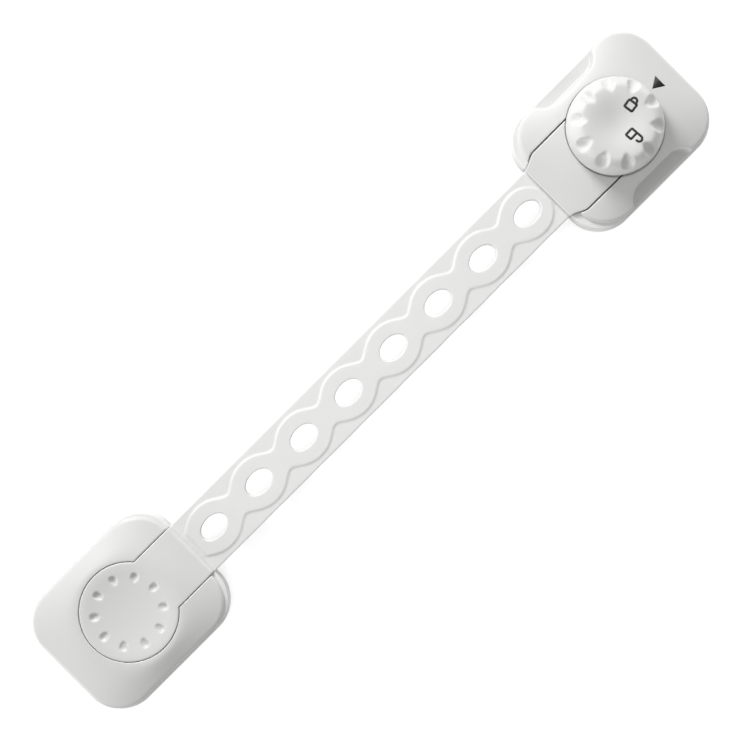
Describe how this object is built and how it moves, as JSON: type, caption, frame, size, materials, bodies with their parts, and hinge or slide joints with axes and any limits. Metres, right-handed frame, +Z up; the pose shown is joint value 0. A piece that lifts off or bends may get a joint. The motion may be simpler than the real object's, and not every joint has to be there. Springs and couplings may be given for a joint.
{
  "type": "child safety lock",
  "caption": "Stick-on child safety lock: two crowned pads joined by a flexible pierced strap, with a quarter-turn knob that latches the strap's head.",
  "frame": {"origin": "middle of the footprint, on the plane of the two adhesive faces", "axes": "+X along the strap towards the lock unit, +Y across the strap, +Z up, away from the adhesive faces"},
  "size_m": [0.2004, 0.035, 0.0181],
  "materials": {
    "white_abs": "fine satin moulding",
    "strap_tpu": "smooth satin",
    "foam_tape": "closed-cell foam tape",
    "zinc_steel": "zinc plated",
    "spring_steel": "bright strip"
  },
  "bodies": {
    "anchor_unit": {"anchor_adhesive_pad": "foam_tape", "anchor_base_plate": "white_abs", "anchor_cover": "white_abs", "anchor_head": "white_abs", "anchor_head_screw": "zinc_steel", "strap": "strap_tpu", "anchor_cover_screw_1": "zinc_steel", "anchor_cover_screw_2": "zinc_steel", "anchor_cover_screw_3": "zinc_steel", "anchor_cover_screw_4": "zinc_steel"},
    "lock_unit": {"lock_adhesive_pad": "foam_tape", "lock_base_plate": "white_abs", "lock_cover": "white_abs", "lock_head": "white_abs", "detent_spring": "spring_steel", "lock_cover_screw_1": "zinc_steel", "lock_cover_screw_2": "zinc_steel", "lock_cover_screw_3": "zinc_steel", "lock_cover_screw_4": "zinc_steel"},
    "knob_set": {"knob": "white_abs", "lock_cam": "white_abs", "cam_screw": "zinc_steel"}
  },
  "joints": [
    {"name": "strap_bend", "type": "hinge", "parent": "anchor_unit", "child": "lock_unit", "pos_m": [0, 0, 0.0056], "axis": [0, 1, 0], "range_deg": [-90, 90], "stiffness_Nm_per_rad": 0.004, "deforming": ["strap"]},
    {"name": "knob_turn", "type": "hinge", "parent": "lock_unit", "child": "knob_set", "pos_m": [0.0792, 0, 0.012], "axis": [0, 0, 1], "range_deg": [0, 90], "deforming": ["detent_spring"]}
  ]
}
